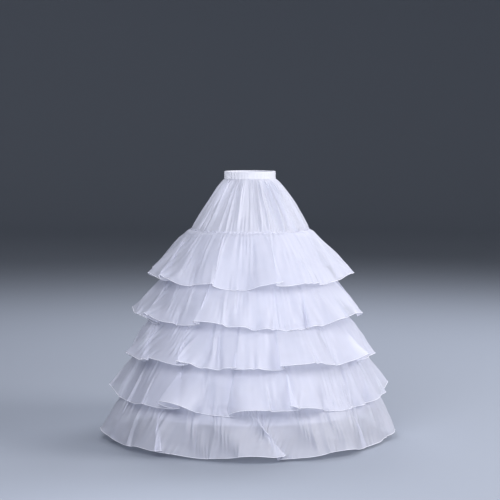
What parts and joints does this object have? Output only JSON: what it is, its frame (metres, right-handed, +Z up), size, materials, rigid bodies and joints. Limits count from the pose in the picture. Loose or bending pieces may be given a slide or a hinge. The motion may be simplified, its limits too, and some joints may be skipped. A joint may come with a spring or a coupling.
{
  "type": "hoop petticoat",
  "caption": "Cone-shaped hoop petticoat with an elastic waistband, a gathered yoke and tiers of gathered flounces held out by steel hoops in channels.",
  "frame": {"origin": "centre of the waistband, on the axis of the waist opening", "axes": "+Z up along the waist opening, -Y the way the wearer faces, +X the wearer's left"},
  "size_m": [1.1134, 1.1262, 0.9857],
  "materials": {
    "flounce_fabric": "sheer crisp organza, matte",
    "skirt_fabric": "plain white lining, matte",
    "waistband_fabric": "shirred white cotton, matte",
    "elastic": "woven elastic, matte",
    "channel_tape": "woven twill tape, matte",
    "hoop_steel": "flat spring steel with a white plastic coat, satin",
    "joiner_plastic": "semi-clear sleeve, satin"
  },
  "bodies": {
    "root": {"waistband": "waistband_fabric", "waist_elastic": "elastic", "yoke": "flounce_fabric", "skirt_panel_1": "skirt_fabric", "skirt_panel_2": "skirt_fabric", "skirt_panel_3": "skirt_fabric", "skirt_panel_4": "skirt_fabric", "skirt_panel_5": "skirt_fabric", "hoop_channel_1": "channel_tape", "hoop_channel_2": "channel_tape", "hoop_channel_3": "channel_tape", "hoop_channel_4": "channel_tape", "hoop_1": "hoop_steel", "hoop_2": "hoop_steel", "hoop_3": "hoop_steel", "hoop_4": "hoop_steel", "hoop_joiner_1": "joiner_plastic", "hoop_joiner_2": "joiner_plastic", "hoop_joiner_3": "joiner_plastic", "hoop_joiner_4": "joiner_plastic", "flounce_1": "flounce_fabric", "flounce_2": "flounce_fabric", "flounce_3": "flounce_fabric", "flounce_4": "flounce_fabric", "flounce_5": "flounce_fabric"}
  },
  "joints": []
}
